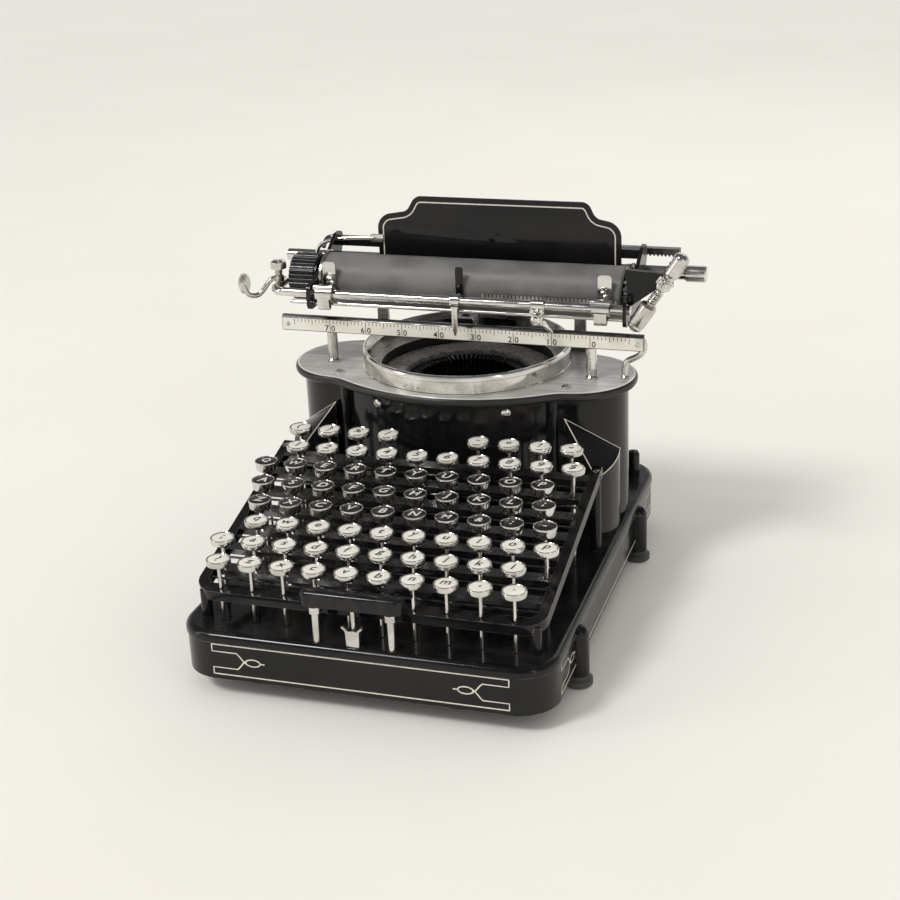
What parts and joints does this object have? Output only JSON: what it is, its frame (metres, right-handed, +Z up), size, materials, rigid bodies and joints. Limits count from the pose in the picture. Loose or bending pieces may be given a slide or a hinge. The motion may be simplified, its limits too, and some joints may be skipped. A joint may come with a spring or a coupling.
{
  "type": "typewriter",
  "caption": "Antique full-keyboard upstrike typewriter: black cast base, sloping rows of round plunger keys, lobed type basket with inked ring, and a sliding, lifting carriage.",
  "frame": {"origin": "on the table, under the middle of the machine", "axes": "+X to the typist's right, +Y to the back, +Z up"},
  "size_m": [0.3042, 0.308, 0.242],
  "materials": {
    "black_japan": "gloss black japan on cast iron and sheet iron",
    "satin_plate": "fine brushed grey plate with a bright border",
    "nickel": "worn nickel plate",
    "steel": "plain oiled steel",
    "ivory_keys": null,
    "black_keys": null,
    "rubber": "aged matt rubber",
    "inked_felt": "ink soaked felt",
    "scale_ivory": "ivory coloured scale with black divisions and plain numbers"
  },
  "bodies": {
    "stand": {"base_casting": "black_japan", "rubber_feet": "rubber", "rear_domed_posts": "black_japan", "lever_pivot_rods": "steel", "keyboard_frame": "black_japan", "frame_posts": "black_japan", "guide_rails": "steel", "space_bar_stirrup": "nickel", "type_basket_shell": "black_japan", "top_plate": "satin_plate", "case_screws": "nickel", "shoulder_cover_left": "black_japan", "shoulder_cover_right": "black_japan", "pad_ring": "nickel", "typebar_ring": "steel", "ink_pad": "inked_felt", "typebars": "steel", "centre_bracket": "steel", "scale_bar": "scale_ivory", "scale_posts": "nickel", "rear_rail": "nickel", "rail_brackets": "steel", "carriage_rest_arm": "nickel"},
    "space_bar_unit": {"space_bar": "black_keys", "space_bar_stems": "nickel"},
    "truck": {"carriage_truck": "steel", "hinge_pin": "steel", "escapement_rack": "steel"},
    "carriage": {"carriage_frame": "black_japan", "front_rails": "nickel", "margin_rack": "nickel", "pointer_clamp": "nickel", "finger_hook": "nickel", "paper_rest": "black_japan"},
    "platen_unit": {"platen": "rubber", "platen_axle": "steel", "platen_knob": "black_keys", "ratchet_wheel": "steel"},
    "spacing_lever": {"line_space_lever": "nickel"},
    "pawl": {"feed_pawl": "nickel"},
    "left_clamp": {"paper_clamp_left": "nickel"},
    "right_clamp": {"paper_clamp_right": "nickel"},
    "stop": {"margin_stop": "nickel"},
    "wheel": {"escapement_wheel": "steel"},
    "keys_row_8": {"key_row_8": "ivory_keys"},
    "levers_row_8": {"key_levers_row_8": "steel"},
    "keys_row_7": {"key_row_7": "ivory_keys"},
    "levers_row_7": {"key_levers_row_7": "steel"},
    "keys_row_6": {"key_row_6": "ivory_keys"},
    "levers_row_6": {"key_levers_row_6": "steel"},
    "keys_row_5": {"key_row_5": "black_keys"},
    "levers_row_5": {"key_levers_row_5": "steel"},
    "keys_row_4": {"key_row_4": "black_keys"},
    "levers_row_4": {"key_levers_row_4": "steel"},
    "keys_row_3": {"key_row_3": "black_keys"},
    "levers_row_3": {"key_levers_row_3": "steel"},
    "keys_row_2": {"key_row_2": "ivory_keys"},
    "levers_row_2": {"key_levers_row_2": "steel"},
    "keys_row_1": {"key_row_1": "ivory_keys"},
    "levers_row_1": {"key_levers_row_1": "steel"}
  },
  "joints": [
    {"name": "press_row_8", "type": "slide", "parent": "stand", "child": "keys_row_8", "axis": [0, 0, -1], "range_m": [0, 0.006], "stiffness_N_per_m": 300, "springref_m": -0.005},
    {"name": "swing_row_8", "type": "hinge", "parent": "stand", "child": "levers_row_8", "pos_m": [0, 0.125, 0.0264], "axis": [1, 0, 0], "range_deg": [0, 1.42]},
    {"name": "press_row_7", "type": "slide", "parent": "stand", "child": "keys_row_7", "axis": [0, 0, -1], "range_m": [0, 0.006], "stiffness_N_per_m": 300, "springref_m": -0.005},
    {"name": "swing_row_7", "type": "hinge", "parent": "stand", "child": "levers_row_7", "pos_m": [0, 0.125, 0.0364], "axis": [1, 0, 0], "range_deg": [0, 1.53]},
    {"name": "press_row_6", "type": "slide", "parent": "stand", "child": "keys_row_6", "axis": [0, 0, -1], "range_m": [0, 0.006], "stiffness_N_per_m": 300, "springref_m": -0.005},
    {"name": "swing_row_6", "type": "hinge", "parent": "stand", "child": "levers_row_6", "pos_m": [0, 0.125, 0.0364], "axis": [1, 0, 0], "range_deg": [0, 1.65]},
    {"name": "press_row_5", "type": "slide", "parent": "stand", "child": "keys_row_5", "axis": [0, 0, -1], "range_m": [0, 0.006], "stiffness_N_per_m": 300, "springref_m": -0.005},
    {"name": "swing_row_5", "type": "hinge", "parent": "stand", "child": "levers_row_5", "pos_m": [0, 0.125, 0.0364], "axis": [1, 0, 0], "range_deg": [0, 1.79]},
    {"name": "press_row_4", "type": "slide", "parent": "stand", "child": "keys_row_4", "axis": [0, 0, -1], "range_m": [0, 0.006], "stiffness_N_per_m": 300, "springref_m": -0.005},
    {"name": "swing_row_4", "type": "hinge", "parent": "stand", "child": "levers_row_4", "pos_m": [0, 0.125, 0.0364], "axis": [1, 0, 0], "range_deg": [0, 1.97]},
    {"name": "press_row_3", "type": "slide", "parent": "stand", "child": "keys_row_3", "axis": [0, 0, -1], "range_m": [0, 0.006], "stiffness_N_per_m": 300, "springref_m": -0.005},
    {"name": "swing_row_3", "type": "hinge", "parent": "stand", "child": "levers_row_3", "pos_m": [0, 0.125, 0.0364], "axis": [1, 0, 0], "range_deg": [0, 2.18]},
    {"name": "press_row_2", "type": "slide", "parent": "stand", "child": "keys_row_2", "axis": [0, 0, -1], "range_m": [0, 0.006], "stiffness_N_per_m": 300, "springref_m": -0.005},
    {"name": "swing_row_2", "type": "hinge", "parent": "stand", "child": "levers_row_2", "pos_m": [0, 0.125, 0.0364], "axis": [1, 0, 0], "range_deg": [0, 2.45]},
    {"name": "press_row_1", "type": "slide", "parent": "stand", "child": "keys_row_1", "axis": [0, 0, -1], "range_m": [0, 0.006], "stiffness_N_per_m": 300, "springref_m": -0.005},
    {"name": "swing_row_1", "type": "hinge", "parent": "stand", "child": "levers_row_1", "pos_m": [0, 0.125, 0.0364], "axis": [1, 0, 0], "range_deg": [0, 2.81]},
    {"name": "press_space_bar", "type": "slide", "parent": "stand", "child": "space_bar_unit", "axis": [0, 0, -1], "range_m": [0, 0.006], "stiffness_N_per_m": 200, "springref_m": -0.004},
    {"name": "carriage_travel", "type": "slide", "parent": "stand", "child": "truck", "axis": [1, 0, 0], "range_m": [-0.085, 0.085]},
    {"name": "escapement_turn", "type": "hinge", "parent": "stand", "child": "wheel", "pos_m": [0, 0.1221, 0.19551], "axis": [0, 1, 0], "continuous": true},
    {"name": "carriage_lift", "type": "hinge", "parent": "truck", "child": "carriage", "pos_m": [0, 0.116, 0.209], "axis": [-1, 0, 0], "range_deg": [0, 60]},
    {"name": "platen_turn", "type": "hinge", "parent": "carriage", "child": "platen_unit", "pos_m": [0, 0.08, 0.19], "axis": [1, 0, 0], "continuous": true},
    {"name": "line_space", "type": "hinge", "parent": "carriage", "child": "spacing_lever", "pos_m": [0.138, 0.047, 0.206], "axis": [0, -1, 0], "range_deg": [0, 25], "stiffness_Nm_per_rad": 0.05, "springref_deg": -20.05},
    {"name": "pawl_lift", "type": "hinge", "parent": "carriage", "child": "pawl", "pos_m": [0.111, 0.092, 0.204], "axis": [-1, 0, 0], "range_deg": [0, 15]},
    {"name": "left_clamp_slide", "type": "slide", "parent": "carriage", "child": "left_clamp", "axis": [1, 0, 0], "range_m": [-0.001, 0.06]},
    {"name": "right_clamp_slide", "type": "slide", "parent": "carriage", "child": "right_clamp", "axis": [1, 0, 0], "range_m": [-0.015, 0.006]},
    {"name": "margin_stop_slide", "type": "slide", "parent": "carriage", "child": "stop", "axis": [1, 0, 0], "range_m": [-0.03, 0.018]}
  ],
  "couplings": [
    {"joint": "swing_row_8", "follows": "press_row_8", "rad_per_m": 3.8462},
    {"joint": "swing_row_7", "follows": "press_row_7", "rad_per_m": 4.1494},
    {"joint": "swing_row_6", "follows": "press_row_6", "rad_per_m": 4.5045},
    {"joint": "swing_row_5", "follows": "press_row_5", "rad_per_m": 4.9261},
    {"joint": "swing_row_4", "follows": "press_row_4", "rad_per_m": 5.4348},
    {"joint": "swing_row_3", "follows": "press_row_3", "rad_per_m": 6.0606},
    {"joint": "swing_row_2", "follows": "press_row_2", "rad_per_m": 6.8493},
    {"joint": "swing_row_1", "follows": "press_row_1", "rad_per_m": 7.874},
    {"joint": "escapement_turn", "follows": "carriage_travel", "rad_per_m": 123.68}
  ]
}
